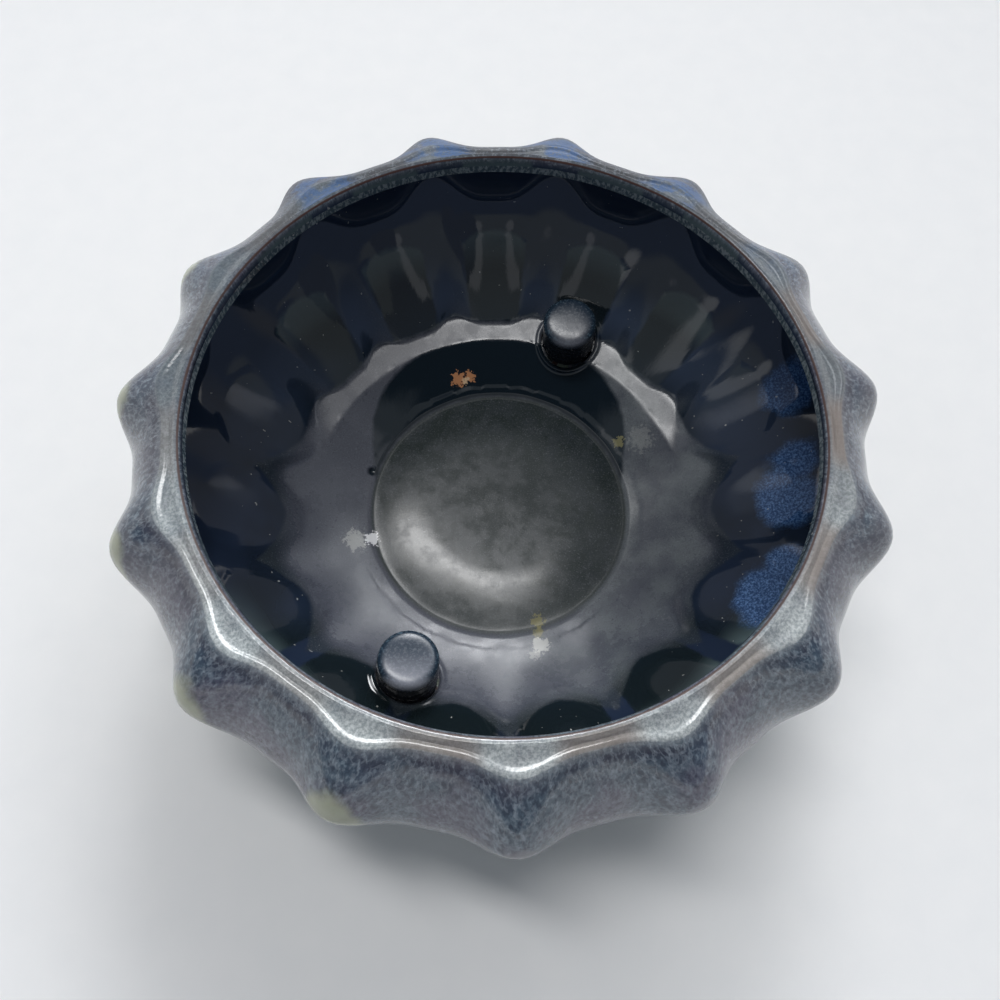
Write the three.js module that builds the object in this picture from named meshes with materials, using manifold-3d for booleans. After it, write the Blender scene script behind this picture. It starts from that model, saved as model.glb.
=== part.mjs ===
// A shallow planter: a scalloped stoneware bowl on a ring foot, glazed inside and out,
// with a glazed drain plug and its rubber seal in each of two drain holes.
// Millimetres, +Z up, with the origin at the middle of the foot's underside.

import * as THREE from 'three';
import { mergeVertices } from 'three/addons/utils/BufferGeometryUtils.js';
import Module from 'manifold-3d';

// Rim and shoulder of the bowl
const RIM_RADIUS = 117.2;
const RIM_HEIGHT = 111;
const LIP_ROUND = 2.6;
const LIP_DEPTH = 6.5;
const WALL = 6;

// Ribs round the shoulder, each with a pointed tip and a broad valley beside it
const RIB_COUNT = 15;
const RIB_START = THREE.MathUtils.degToRad(7.6);
const RIB_POINT = 1.85;
const TIP_RADIUS = 150;
const TIP_HEIGHT = 84;
const VALLEY_RADIUS = 143.8;
const VALLEY_HEIGHT = 69;

// The collar bulges from the rim to the widest line by these two powers
const COLLAR_REACH = 0.9;
const COLLAR_FALL = 1.9;

// Foot ring and the hollow under the base
const FOOT_RADIUS = 68.5;
const FOOT_HEIGHT = 5.5;
const FOOT_TAPER = 1.5;
const FOOT_WIDTH = 10;
const RECESS_HEIGHT = 6;
const RECESS_SLOPE = 8;

// Dished floor, from the crease above the foot to the break where the ribs begin
const FLOOR_SLOPE = THREE.MathUtils.degToRad(30);
const CREASE_RADIUS = 60.7;
const PLATEAU_RADIUS = 38;
const VALLEY_BREAK_RADIUS = 93;
const RIB_BREAK_RADIUS = 103;
const WALL_SLOPE = THREE.MathUtils.degToRad(50);
const WALL_START_PULL = 18;
const WALL_END_PULL = 20;

// Drain holes, square to an axis that leans towards the middle of the bowl
const PLUG_RADIUS_OUT = 91.6;
const PLUG_ANGLES = {
  front: THREE.MathUtils.degToRad(245),
  rear: THREE.MathUtils.degToRad(68),
};
const PLUG_LEAN = THREE.MathUtils.degToRad(11);
const SEAT_DEPTH = 0.8;
const SEAT_THICKNESS = 7;
const BOSS_WALL = 5;

// Plug and seal
const HEAD_RADIUS = 12.5;
const HEAD_HEIGHT = 24.8;
const HEAD_ROUND = 2.8;
const STEM_RADIUS = 7;
const STEM_FLANGE = 1.6;
const STEM_FLANGE_HEIGHT = 2.6;
const SEAL_WALL = 2.2;
const SEAL_FLANGE = 2;
const SEAL_THICKNESS = 1.8;
const SEAL_TAIL = 1;
const HEAD_CLEARANCE = 0.8;
const TOUCH_GAP = 0.3;

// Fineness of the solids
const STEPS_PER_RIB = 8;
const WALL_STEPS = 6;
const COLLAR_STEPS = 7;
const LIP_STEPS = 3;
const PLATEAU_STEPS = 3;
const ROUND_SIDES = 32;
const ROUND_STEPS = 3;

const SEGMENTS = RIB_COUNT * STEPS_PER_RIB;
const TURN = Math.PI * 2;

// A section point at this radius and height
const point = (radius, height) => new THREE.Vector2(radius, height);

// How much of a rib there is at a step round the bowl: 1 on its tip and 0 in a valley
function ribShare(step) {
  return ((1 + Math.cos((TURN * step) / STEPS_PER_RIB)) / 2) ** RIB_POINT;
}

const between = (valley, tip, share) => valley + (tip - valley) * share;

// Height of the underside, and of the floor above it, where the bowl is a plain dish
function undersideAt(radius) {
  return FOOT_HEIGHT + (radius - FOOT_RADIUS) * Math.tan(FLOOR_SLOPE);
}

function floorAt(radius) {
  return undersideAt(radius) + WALL / Math.cos(FLOOR_SLOPE);
}

// Outside of the bowl from the top of the foot to the crest of the rim
function outsideSection(share) {
  const widest = point(
    between(VALLEY_RADIUS, TIP_RADIUS, share),
    between(VALLEY_HEIGHT, TIP_HEIGHT, share),
  );
  const breakRadius = between(VALLEY_BREAK_RADIUS, RIB_BREAK_RADIUS, share);
  const breakPoint = point(breakRadius, undersideAt(breakRadius));
  const start = point(Math.cos(WALL_SLOPE), Math.sin(WALL_SLOPE)).multiplyScalar(WALL_START_PULL);
  const wall = new THREE.CubicBezierCurve(
    breakPoint,
    breakPoint.clone().add(start),
    widest.clone().sub(point(0, WALL_END_PULL)),
    widest,
  );
  const section = [point(FOOT_RADIUS, FOOT_HEIGHT), ...wall.getPoints(WALL_STEPS)];
  for (let step = 1; step <= COLLAR_STEPS; step += 1) {
    const turn = (Math.PI / 2) * (1 - step / COLLAR_STEPS);
    section.push(point(
      RIM_RADIUS + (widest.x - RIM_RADIUS) * Math.sin(turn) ** COLLAR_REACH,
      widest.y + (RIM_HEIGHT - widest.y) * Math.cos(turn) ** COLLAR_FALL,
    ));
  }
  return section;
}

// The same section moved square to itself into the wall, without its two ends
function insetSection(section, depth) {
  const inset = [];
  for (let i = 1; i < section.length - 1; i += 1) {
    const along = section[i + 1].clone().sub(section[i - 1]).normalize();
    inset.push(section[i].clone().add(point(-along.y, along.x).multiplyScalar(depth)));
  }
  return inset;
}

// Top of the base, from the crease in to the axis
function plateauSection() {
  const height = RECESS_HEIGHT + WALL;
  const crease = point(CREASE_RADIUS, floorAt(CREASE_RADIUS));
  const bend = point((CREASE_RADIUS + PLATEAU_RADIUS) / 2, height);
  const edge = new THREE.QuadraticBezierCurve(crease, bend, point(PLATEAU_RADIUS, height));
  return [...edge.getPoints(PLATEAU_STEPS), point(0, height)];
}

// Whole wall of the bowl: out under the base, up the outside, over the lip and back in
function bowlSection(share) {
  const footBottom = FOOT_RADIUS - FOOT_TAPER;
  const outside = outsideSection(share);
  const lipCentre = point(RIM_RADIUS, RIM_HEIGHT - LIP_ROUND);
  const lip = [];
  for (let step = 1; step <= LIP_STEPS; step += 1) {
    const turn = (Math.PI / 2) * (1 + step / LIP_STEPS);
    const round = point(Math.cos(turn), Math.sin(turn)).multiplyScalar(LIP_ROUND);
    lip.push(lipCentre.clone().add(round));
  }
  lip.push(point(RIM_RADIUS - LIP_ROUND, RIM_HEIGHT - LIP_DEPTH));
  return [
    point(0, RECESS_HEIGHT),
    point(footBottom - FOOT_WIDTH - RECESS_SLOPE, RECESS_HEIGHT),
    point(footBottom - FOOT_WIDTH, 0),
    point(footBottom, 0),
    ...outside,
    ...lip,
    ...insetSection(outside, WALL).reverse(),
    ...plateauSection(),
  ];
}

// Everything above the middle of the wall, which trims the bosses under the drain holes
function hollowSection(share) {
  const half = insetSection(outsideSection(share), WALL / 2);
  const start = point(FOOT_RADIUS, undersideAt(FOOT_RADIUS) + WALL / 2);
  return [point(0, start.y), start, ...half, point(0, RIM_HEIGHT)];
}

// A closed solid round the Z axis whose section changes with the ribs
function ribbedGeometry(sectionAt) {
  const columns = [];
  for (let step = 0; step < SEGMENTS; step += 1) {
    columns.push(sectionAt(ribShare(step)));
  }
  const rings = columns[0].length - 2;
  const positions = [0, 0, columns[0][0].y, 0, 0, columns[0][rings + 1].y];
  for (let step = 0; step < SEGMENTS; step += 1) {
    const angle = RIB_START + (TURN * step) / SEGMENTS;
    for (let ring = 1; ring <= rings; ring += 1) {
      const { x: radius, y: height } = columns[step][ring];
      positions.push(radius * Math.cos(angle), radius * Math.sin(angle), height);
    }
  }
  const vertex = (step, ring) => 2 + (step % SEGMENTS) * rings + ring;
  const faces = [];
  for (let step = 0; step < SEGMENTS; step += 1) {
    faces.push(0, vertex(step + 1, 0), vertex(step, 0));
    for (let ring = 0; ring < rings - 1; ring += 1) {
      const low = vertex(step, ring);
      const lowNext = vertex(step + 1, ring);
      const high = vertex(step, ring + 1);
      const highNext = vertex(step + 1, ring + 1);
      faces.push(low, lowNext, highNext, low, highNext, high);
    }
    faces.push(vertex(step, rings - 1), vertex(step + 1, rings - 1), 1);
  }
  const geometry = new THREE.BufferGeometry();
  geometry.setAttribute('position', new THREE.Float32BufferAttribute(positions, 3));
  geometry.setIndex(faces);
  return geometry;
}

// A plain round solid along its own Z axis, between two heights
function roundGeometry(radius, low, high) {
  const geometry = new THREE.CylinderGeometry(radius, radius, high - low, ROUND_SIDES);
  geometry.rotateX(Math.PI / 2);
  geometry.translate(0, 0, (low + high) / 2);
  return geometry;
}

// Solids for joining and cutting
const wasm = await Module();
wasm.setup();

function toSolid(geometry) {
  const bare = geometry.clone();
  bare.deleteAttribute('normal');
  bare.deleteAttribute('uv');
  const merged = mergeVertices(bare, 1e-4);
  return new wasm.Manifold(new wasm.Mesh({
    numProp: 3,
    vertProperties: new Float32Array(merged.attributes.position.array),
    triVerts: new Uint32Array(merged.index.array),
  }));
}

function toGeometry(solid) {
  const mesh = solid.getMesh();
  const geometry = new THREE.BufferGeometry();
  geometry.setAttribute('position', new THREE.BufferAttribute(mesh.vertProperties, 3));
  geometry.setIndex(new THREE.BufferAttribute(mesh.triVerts, 1));
  const flat = geometry.toNonIndexed();
  flat.computeVertexNormals();
  return flat;
}

// Sizes of the drain holes, from the plug and the seal that they hold
const sealRadius = STEM_RADIUS + TOUCH_GAP + SEAL_WALL;
const holeRadius = sealRadius + TOUCH_GAP;
const wellRadius = HEAD_RADIUS + HEAD_CLEARANCE;
const bossRadius = wellRadius + BOSS_WALL;
const bossReach = WALL + wellRadius;

// The lowest edge of the well is let into the floor by the seat's depth
const wellLowEdge = PLUG_RADIUS_OUT - wellRadius * Math.cos(PLUG_LEAN);
const seatHeight = floorAt(wellLowEdge) + wellRadius * Math.sin(PLUG_LEAN) - SEAT_DEPTH;

// Puts something made on its own Z axis, with the seat at zero, in its drain hole
function placeAtDrain(thing, angle) {
  thing.position.set(
    PLUG_RADIUS_OUT * Math.cos(angle),
    PLUG_RADIUS_OUT * Math.sin(angle),
    seatHeight,
  );
  thing.rotation.set(0, -PLUG_LEAN, angle, 'ZYX');
  thing.updateMatrix();
  return thing;
}

function atDrain(geometry, angle) {
  const place = placeAtDrain(new THREE.Object3D(), angle);
  return toSolid(geometry.applyMatrix4(place.matrix));
}

function bowlGeometry() {
  const hollow = toSolid(ribbedGeometry(hollowSection));
  let bowl = toSolid(ribbedGeometry(bowlSection));
  for (const angle of Object.values(PLUG_ANGLES)) {
    const boss = atDrain(roundGeometry(bossRadius, -SEAT_THICKNESS, bossReach), angle);
    const well = atDrain(roundGeometry(wellRadius, 0, HEAD_HEIGHT * 2), angle);
    const hole = atDrain(roundGeometry(holeRadius, -SEAT_THICKNESS * 3, HEAD_HEIGHT), angle);
    bowl = bowl.add(boss.subtract(hollow)).subtract(well).subtract(hole);
  }
  return toGeometry(bowl);
}

// The plug: a round head to pull on, and a stem with a small flange that keeps the seal
function plugGeometry() {
  const headLow = TOUCH_GAP + SEAL_THICKNESS + TOUCH_GAP;
  const headHigh = headLow + HEAD_HEIGHT;
  const flangeHigh = -SEAT_THICKNESS - SEAL_TAIL - TOUCH_GAP;
  const flangeLow = flangeHigh - STEM_FLANGE_HEIGHT;
  const flangeRadius = STEM_RADIUS + STEM_FLANGE;
  const section = [
    point(0, flangeLow),
    point(STEM_RADIUS, flangeLow),
    point(flangeRadius, (flangeLow + flangeHigh) / 2),
    point(flangeRadius, flangeHigh),
    point(STEM_RADIUS, flangeHigh),
    point(STEM_RADIUS, headLow),
    point(HEAD_RADIUS, headLow),
  ];
  for (let step = 0; step <= ROUND_STEPS; step += 1) {
    const turn = (Math.PI / 2) * (step / ROUND_STEPS);
    section.push(point(
      HEAD_RADIUS - HEAD_ROUND + HEAD_ROUND * Math.cos(turn),
      headHigh - HEAD_ROUND + HEAD_ROUND * Math.sin(turn),
    ));
  }
  section.push(point(0, headHigh));
  return latheGeometry(section);
}

// The seal: a rubber sleeve on the stem, with a flat flange under the head
function sealGeometry() {
  const inside = STEM_RADIUS + TOUCH_GAP;
  const low = -SEAT_THICKNESS - SEAL_TAIL;
  const high = TOUCH_GAP + SEAL_THICKNESS;
  const flangeRadius = holeRadius + SEAL_FLANGE;
  return latheGeometry([
    point(inside, low),
    point(sealRadius, low),
    point(sealRadius, TOUCH_GAP),
    point(flangeRadius, TOUCH_GAP),
    point(flangeRadius, high),
    point(inside, high),
    point(inside, low),
  ]);
}

// A lathe turned about Z instead of Y, with its faces pointing out
function latheGeometry(section) {
  const geometry = new THREE.LatheGeometry(section, ROUND_SIDES);
  geometry.rotateX(Math.PI / 2);
  return geometry;
}

const bowlGlaze = new THREE.MeshStandardMaterial({
  color: 0x3d4a58,
  roughness: 0.22,
  metalness: 0,
});
const plugGlaze = new THREE.MeshStandardMaterial({
  color: 0x2a3440,
  roughness: 0.18,
  metalness: 0,
});
const sealRubber = new THREE.MeshStandardMaterial({
  color: 0x1c1c1d,
  roughness: 0.75,
  metalness: 0,
});

function namedMesh(name, geometry, material) {
  const mesh = new THREE.Mesh(geometry, material.clone());
  mesh.name = name;
  return mesh;
}

const planter = new THREE.Group();
planter.add(namedMesh('planter_bowl', bowlGeometry(), bowlGlaze));
for (const [place, angle] of Object.entries(PLUG_ANGLES)) {
  const drain = placeAtDrain(new THREE.Group(), angle);
  drain.add(namedMesh(`drain_plug_${place}`, plugGeometry(), plugGlaze));
  drain.add(namedMesh(`plug_seal_${place}`, sealGeometry(), sealRubber));
  planter.add(drain);
}

export default planter;
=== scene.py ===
import math

import bmesh
import bpy
from mathutils import Matrix, Vector, noise


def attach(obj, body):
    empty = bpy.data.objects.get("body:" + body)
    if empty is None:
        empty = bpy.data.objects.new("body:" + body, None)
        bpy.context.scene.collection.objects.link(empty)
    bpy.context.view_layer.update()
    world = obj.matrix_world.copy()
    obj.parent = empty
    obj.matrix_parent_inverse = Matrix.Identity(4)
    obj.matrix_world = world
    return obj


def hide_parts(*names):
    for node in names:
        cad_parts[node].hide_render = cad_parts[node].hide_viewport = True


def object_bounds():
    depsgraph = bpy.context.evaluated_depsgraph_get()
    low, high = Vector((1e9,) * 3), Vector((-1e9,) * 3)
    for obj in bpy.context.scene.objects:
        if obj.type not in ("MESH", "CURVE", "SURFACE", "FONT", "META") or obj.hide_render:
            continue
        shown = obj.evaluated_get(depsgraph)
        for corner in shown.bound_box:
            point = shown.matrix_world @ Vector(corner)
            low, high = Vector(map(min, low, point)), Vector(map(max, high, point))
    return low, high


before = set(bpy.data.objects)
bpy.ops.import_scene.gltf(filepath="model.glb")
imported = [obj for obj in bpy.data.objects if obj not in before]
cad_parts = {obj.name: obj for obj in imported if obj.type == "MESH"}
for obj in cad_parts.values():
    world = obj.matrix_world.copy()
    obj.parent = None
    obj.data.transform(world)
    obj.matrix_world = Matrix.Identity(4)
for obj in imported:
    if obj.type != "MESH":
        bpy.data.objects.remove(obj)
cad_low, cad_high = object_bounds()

# The bowl is one casting of stoneware, glazed inside and out, with fifteen ribs round its
# shoulder and a hollow ring foot. Its wall follows the ribs inside as well as outside.
# Sizes are in metres, with the origin at the middle of the foot's underside.
RIM_RADIUS = 0.1172
RIM_HEIGHT = cad_high.z
LIP_ROUND = 0.0026
LIP_DEPTH = 0.0065
WALL = 0.006
RIB_COUNT = 15
RIB_START = math.radians(7.6)
RIB_POINT = 1.85
TIP_RADIUS = 0.150
TIP_HEIGHT = 0.084
VALLEY_RADIUS = 0.1438
VALLEY_HEIGHT = 0.069

# The ledge round the rim is wide at a rib and almost gone in a valley
LEDGE_WIDTH_RIB = 0.0088
LEDGE_WIDTH_VALLEY = 0.0034
LEDGE_FALL_RIB = 0.0021
LEDGE_FALL_VALLEY = 0.0011
LEDGE_HOLLOW = 0.0007
LEDGE_ROUND = 0.0016
COLLAR_SLOPE = math.radians(35)
COLLAR_START_PULL = 0.0105
COLLAR_END_PULL_RIB = 0.012
COLLAR_END_PULL_VALLEY = 0.020
COLLAR_INSIDE_START = 4

# Foot ring, dished floor and the break where the wall starts to climb
FOOT_RADIUS = 0.0685
FOOT_HEIGHT = 0.0055
FOOT_TAPER = 0.0015
FOOT_WIDTH = 0.010
FOOT_ROUND = 0.0012
RECESS_HEIGHT = 0.006
RECESS_SLOPE = 0.008
FLOOR_SLOPE = math.radians(30)
CREASE_RADIUS = 0.0607
PLATEAU_RADIUS = 0.031
VALLEY_BREAK_RADIUS = 0.093
RIB_BREAK_RADIUS = 0.103
WALL_SLOPE = math.radians(50)
CREASE_LIFT = 0.0005
DOME_PULL_RADIUS = 0.0415
SHELF_START = 0.0852
SHELF_END_VALLEY = 0.0945
SHELF_END_RIB = 0.0985
SHELF_SWELL = 0.0008
SHELF_SLOPE = math.radians(13)
SHELF_DROP = 0.0044
WALL_CATCH_UP_RADIUS = 0.126
SAG = 0.0021
CREASE_ROUND = 0.03
WALL_START_PULL = 0.018
WALL_END_PULL = 0.020

# The back of the bowl starts and is full at these sines of the angle round it
BACK_START = 0.1
BACK_FULL = 0.5

# Fineness of the mesh
STEPS_PER_RIB = 28
COLUMNS = RIB_COUNT * STEPS_PER_RIB
RECESS_STEPS = 5
ROUND_STEPS = 3
FOOT_STEPS = 4
FOOT_SIDE_STEPS = 2
DISH_STEPS = 8
WALL_STEPS = 30
COLLAR_STEPS = 24
LEDGE_CORNER_STEPS = 6
LEDGE_STEPS = 8
LIP_STEPS = 8
LIP_FACE_STEPS = 4
FLOOR_STEPS = 26
CREASE_STEPS = 7
DOME_STEPS = 12
PLATEAU_STEPS = 5


def between(low, high, share):
    return low + (high - low) * share


def at(radius, height):
    return Vector((radius, height))


def rib_share(angle):
    """How much of a rib there is at an angle: 1 on its tip and 0 in a valley."""
    return ((1 + math.cos(RIB_COUNT * (angle - RIB_START))) / 2) ** RIB_POINT


def straight(start, end, steps):
    """Points from start to end, without the start."""
    return [start.lerp(end, step / steps) for step in range(1, steps + 1)]


def curve(controls, steps):
    """Points along a Bezier curve of any order, without its start."""
    points = []
    for step in range(1, steps + 1):
        row = list(controls)
        while len(row) > 1:
            row = [a.lerp(b, step / steps) for a, b in zip(row, row[1:])]
        points.append(row[0])
    return points


def inset(points, depth):
    """The same line moved square to itself into the wall."""
    moved = []
    for i, here in enumerate(points):
        along = (points[min(i + 1, len(points) - 1)] - points[max(i - 1, 0)]).normalized()
        moved.append(here + at(-along.y, along.x) * depth)
    return moved


def soften(points, rounds):
    """Rounds the corners of a line, with its ends kept."""
    for _ in range(rounds):
        inner = [(a + b * 2 + c) / 4 for a, b, c in zip(points, points[1:], points[2:])]
        points = [points[0], *inner, points[-1]]
    return points


def underside_at(radius):
    return FOOT_HEIGHT + (radius - FOOT_RADIUS) * math.tan(FLOOR_SLOPE)


def floor_at(radius):
    return underside_at(radius) + WALL / math.cos(FLOOR_SLOPE)


def ramp(value, low, high):
    """0 up to low and 1 from high on, with a straight climb between."""
    return max(0.0, min(1.0, (value - low) / (high - low)))


def climb_share(value, low, high):
    """0 up to low and 1 from high on, with a smooth climb between."""
    share = ramp(value, low, high)
    return share * share * (3 - 2 * share)


def back_share(angle):
    """1 at the back of the bowl and 0 at its front."""
    return climb_share(math.sin(angle), BACK_START, BACK_FULL)


def floor_lift(here, share, angle):
    """At the back the floor swells, then flattens to a shelf. At the front it sags."""
    swell = SHELF_SWELL * climb_share(here.x, CREASE_RADIUS, SHELF_START)
    shelf_height = floor_at(SHELF_START) + SHELF_SWELL
    shelf_height += max(0.0, here.x - SHELF_START) * math.tan(SHELF_SLOPE)
    drop = min(SHELF_DROP, max(0.0, here.y + swell - shelf_height))
    full = swell - drop * (here.x > SHELF_START)
    full *= 1 - climb_share(here.x, SHELF_END_VALLEY, WALL_CATCH_UP_RADIUS)
    foot_radius = between(VALLEY_BREAK_RADIUS, RIB_BREAK_RADIUS, share)
    across = ramp(here.x, CREASE_RADIUS, foot_radius)
    sag = -SAG * 4 * across * (1 - across)
    return between(sag, full, back_share(angle))


def widest_point(share):
    return at(
        between(VALLEY_RADIUS, TIP_RADIUS, share),
        between(VALLEY_HEIGHT, TIP_HEIGHT, share),
    )


def ledge_corner(share):
    return at(
        RIM_RADIUS + between(LEDGE_WIDTH_VALLEY, LEDGE_WIDTH_RIB, share),
        RIM_HEIGHT - between(LEDGE_FALL_VALLEY, LEDGE_FALL_RIB, share),
    )


def bowl_section(share):
    """The bowl's wall as (stretch name, points), from under the base round to the floor."""
    foot_bottom = FOOT_RADIUS - FOOT_TAPER
    hollow = at(foot_bottom - FOOT_WIDTH - RECESS_SLOPE, RECESS_HEIGHT)
    foot_in = at(foot_bottom - FOOT_WIDTH, 0)
    foot_out = at(foot_bottom, 0)
    foot_top = at(FOOT_RADIUS, FOOT_HEIGHT)
    recess = [at(0, RECESS_HEIGHT), *straight(at(0, RECESS_HEIGHT), hollow, RECESS_STEPS)]
    recess += straight(hollow, foot_in + at(-FOOT_ROUND, FOOT_ROUND), ROUND_STEPS)
    foot = curve([recess[-1], foot_in, foot_in + at(FOOT_ROUND, 0)], ROUND_STEPS)
    foot += straight(foot[-1], foot_out - at(FOOT_ROUND, 0), FOOT_STEPS)
    foot += curve([foot[-1], foot_out, foot_out + at(0, FOOT_ROUND)], ROUND_STEPS)
    foot_side = straight(foot[-1], foot_top, FOOT_SIDE_STEPS)

    break_radius = between(VALLEY_BREAK_RADIUS, RIB_BREAK_RADIUS, share)
    break_point = at(break_radius, underside_at(break_radius))
    dish = straight(foot_top, break_point, DISH_STEPS)
    widest = widest_point(share)
    climb = at(math.cos(WALL_SLOPE), math.sin(WALL_SLOPE)) * WALL_START_PULL
    wall = curve(
        [break_point, break_point + climb, widest - at(0, WALL_END_PULL), widest],
        WALL_STEPS,
    )
    corner = ledge_corner(share)
    fall = at(math.cos(COLLAR_SLOPE), -math.sin(COLLAR_SLOPE))
    collar_top = corner + fall * LEDGE_ROUND
    end_pull = between(COLLAR_END_PULL_VALLEY, COLLAR_END_PULL_RIB, share)
    collar = curve(
        [widest, widest + at(0, end_pull), corner + fall * COLLAR_START_PULL, collar_top],
        COLLAR_STEPS,
    )
    crest = at(RIM_RADIUS, RIM_HEIGHT)
    ledge_low = at((corner.x + crest.x) / 2, corner.y - LEDGE_HOLLOW)
    ledge_start = corner + (ledge_low - corner).normalized() * LEDGE_ROUND
    ledge = curve([collar_top, corner, ledge_start], LEDGE_CORNER_STEPS)
    ledge += curve([ledge_start, ledge_low, crest], LEDGE_STEPS)

    lip_centre = at(RIM_RADIUS, RIM_HEIGHT - LIP_ROUND)
    lip = []
    for step in range(1, LIP_STEPS + 1):
        turn = math.pi / 2 * (1 + step / LIP_STEPS)
        lip.append(lip_centre + at(math.cos(turn), math.sin(turn)) * LIP_ROUND)
    lip_foot = at(RIM_RADIUS - LIP_ROUND, RIM_HEIGHT - LIP_DEPTH)
    lip_face = straight(lip[-1], lip_foot, LIP_FACE_STEPS)

    moved = inset([dish[-2], break_point, *wall, *collar], WALL)
    inside_collar = moved[-COLLAR_INSIDE_START:WALL_STEPS + 1:-1]
    inside_wall = moved[WALL_STEPS + 1:0:-1]
    crease = at(CREASE_RADIUS, floor_at(CREASE_RADIUS) + CREASE_LIFT)
    crease_start = crease.lerp(inside_wall[-1], CREASE_ROUND)
    inside_floor = straight(inside_wall[-1], crease_start, FLOOR_STEPS)
    inside = soften([lip_foot, *inside_collar, *inside_wall, *inside_floor], 2)[1:]
    top = RECESS_HEIGHT + WALL
    plateau_edge = at(PLATEAU_RADIUS, top)
    dome = curve([crease, at(DOME_PULL_RADIUS, top), plateau_edge], DOME_STEPS)
    plateau = curve([inside[-1], crease, dome[1]], CREASE_STEPS) + dome[2:]
    plateau += straight(plateau_edge, at(0, top), PLATEAU_STEPS)
    wall_end = len(inside_collar) + len(inside_wall)
    return [
        ("recess", recess),
        ("foot", foot),
        ("foot_side", foot_side),
        ("under_dish", dish),
        ("wall", wall),
        ("collar", collar),
        ("ledge", ledge),
        ("lip", lip),
        ("lip_face", lip_face),
        ("inside_collar", inside[: len(inside_collar)]),
        ("inside_wall", inside[len(inside_collar): wall_end]),
        ("floor", inside[wall_end:]),
        ("plateau", plateau),
    ]


# Where each glaze runs, held on the mesh so that the colour follows the surface
INSIDE_STRETCHES = {"lip_face", "inside_collar", "inside_wall", "floor", "plateau"}
UNDER_STRETCHES = {"foot_side", "under_dish", "wall"}
ZONES = (
    "inside", "rib", "ledge", "pool", "crest_shade", "tip", "bare", "band", "under", "disc", "crease",
    "film", "streak", "lobe",
)
CREASE_SIZE = 0.0015
CREASE_BLUR = 0.0008
LIP_INSIDE_START = 13 / 24
LIP_INSIDE_END = 23 / 24
LIP_CREST = 0.40
LIP_BARE_SIZE = 0.18
LEDGE_FADE = 0.0016
POOL_START = 0.005
POOL_SIZE = 0.009
# Where the painted shade under the ledge crest lies
CREST_SHADE_START = 0.0052
CREST_SHADE_SIZE = 0.0030
TIP_SIZE = 0.018
BAND_FADE = 0.0040
UNDER_FADE = 0.012


def hump(distance, size):
    return math.exp(-((distance / size) ** 2))


def zone_values(name, share, here, place):
    """How strongly each zone shows at a point, which is a share, place, along its stretch."""
    from_corner = (here - ledge_corner(share)).length
    from_widest = (here - widest_point(share)).length
    outer = name in ("collar", "ledge")
    values = dict.fromkeys(ZONES, 0.0)
    values["rib"] = share
    values["inside"] = 1.0 if name in INSIDE_STRETCHES else 0.0
    if name == "lip":
        values["inside"] = ramp(place, LIP_INSIDE_START, LIP_INSIDE_END)
        values["bare"] = hump(place - LIP_CREST, LIP_BARE_SIZE)
        values["ledge"] = max(0.0, 1 - place * 2)
    if name == "ledge":
        values["ledge"] = 1.0
    if name == "collar":
        values["ledge"] = math.exp(-from_corner / LEDGE_FADE)
    if outer:
        values["pool"] = share ** 0.7 * hump(from_corner - POOL_START, POOL_SIZE)
        values["crest_shade"] = hump(from_corner - CREST_SHADE_START, CREST_SHADE_SIZE) if name == "collar" else 0.0
    if outer or name == "wall":
        values["tip"] = share ** 1.5 * hump(from_widest, TIP_SIZE)
    if name in ("foot", "recess"):
        values["bare"] = 1.0
    if name == "lip_face":
        values["band"] = 1.0
    if name == "inside_collar":
        lip_foot = at(RIM_RADIUS - LIP_ROUND, RIM_HEIGHT - LIP_DEPTH)
        values["band"] = math.exp(-(here - lip_foot).length / BAND_FADE)
    if name in ("floor", "plateau"):
        values["disc"] = climb_share(CREASE_RADIUS - here.x, -CREASE_BLUR / 2, CREASE_BLUR)
        values["crease"] = hump(here.x - CREASE_RADIUS, CREASE_SIZE)
    if name in UNDER_STRETCHES:
        values["under"] = 1 - hump(from_widest, UNDER_FADE)
    return values


# The glaze runs down the outside, so its flecks are drawn out along the run
FLOW_STRETCH = 0.55

# A dried film of lime lies on the floor. It stops at the foot of each lobe of the wall and
# climbs a little way up the grooves between. At the back it is left off a wedge, so that the
# wedge shows dark as painted shade.
FILM_AT_LOBE = 0.0955
FILM_IN_GROOVE = 0.1085
LOBE_HALF_NEAR = 0.10
LOBE_HALF_FAR = 0.20
LOBE_FOOT = 0.0900
LOBE_TOP = 0.1275
LOBE_ARCH = 0.055
STREAK_PHASE = -0.12
STREAK_HALF = 0.11
STREAK_START = 0.098
STREAK_END = 0.131
SHADE_WEDGE_FULL = 0.95


def film_values(radius, share, angle):
    """How far inside the edge of the film and of a lobe's face a point is, in millimetres."""
    back = back_share(angle)
    phase = ((angle - RIB_START) / math.tau * RIB_COUNT + 0.5) % 1 - 0.5
    groove = (1 - 2 * abs(phase)) ** 1.7
    front_end = between(FILM_AT_LOBE, FILM_IN_GROOVE, groove)
    back_end = between(SHELF_END_VALLEY, SHELF_END_RIB, share)
    # The wedge kept clear of the film is painted shade
    shade_wedge = climb_share(math.sin(angle), BACK_START, SHADE_WEDGE_FULL)
    shade_wedge_end = between(CREASE_RADIUS - 0.002, SHELF_START, shade_wedge)
    inner = max(radius - shade_wedge_end, CREASE_RADIUS - radius)
    film = min(between(front_end, back_end, back) - radius, inner)
    arch = LOBE_ARCH * (0.5 - abs(phase)) ** 2
    half = between(LOBE_HALF_NEAR, LOBE_HALF_FAR, back)
    side = (abs(phase) - half) * math.tau / RIB_COUNT * radius
    lobe = min(side, LOBE_TOP - arch - radius, radius - LOBE_FOOT)
    streak = hump(phase - STREAK_PHASE, STREAK_HALF)
    streak *= 1 - climb_share(radius, STREAK_START, STREAK_END)
    streak *= back * climb_share(radius, back_end - 0.001, back_end)
    return {"film": film * 1000, "lobe": lobe * 1000, "streak": streak}


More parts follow.
